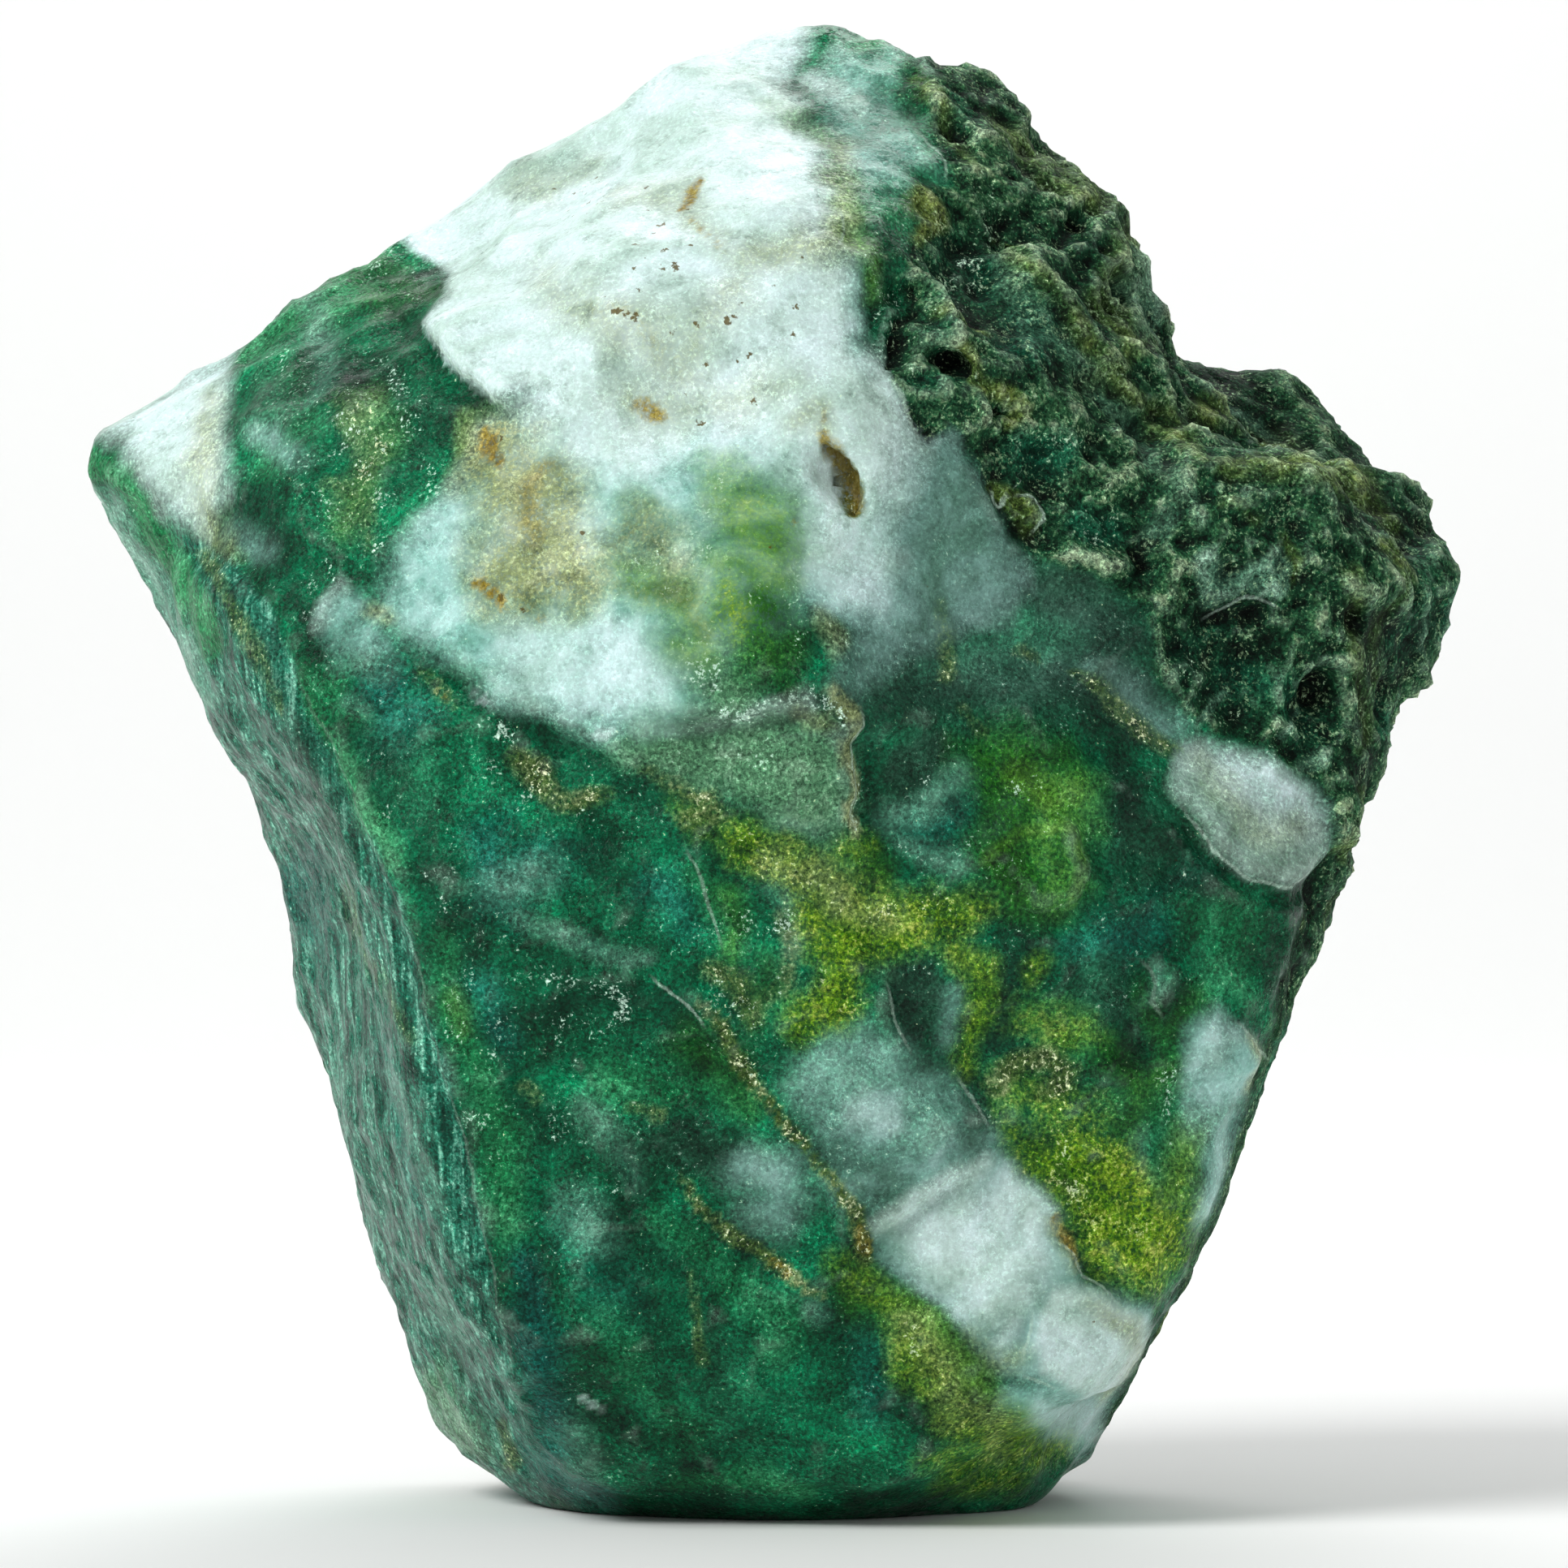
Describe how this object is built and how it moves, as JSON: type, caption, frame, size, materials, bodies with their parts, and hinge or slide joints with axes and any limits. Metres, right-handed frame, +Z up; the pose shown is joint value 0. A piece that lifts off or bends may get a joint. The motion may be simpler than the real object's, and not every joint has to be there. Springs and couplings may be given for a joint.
{
  "type": "raw moss agate",
  "caption": "Raw chunk of green and white moss agate with broken waxy faces, a dark pitted rind over the upper right and back, and a flat chip it stands on.",
  "frame": {"origin": "middle of the bounding box, on the flat chip that the stone stands on", "axes": "+Z up, from the flat chip to the crown; -Y is the broad broken face; +X is to the right when facing that face, towards the rind's hump"},
  "size_m": [0.046, 0.0332, 0.0495],
  "materials": {
    "moss_agate": "waxy broken chalcedony, green with milky white patches, and a matte dark green pitted rind"
  },
  "bodies": {
    "root": {"stone": "moss_agate"}
  },
  "joints": []
}
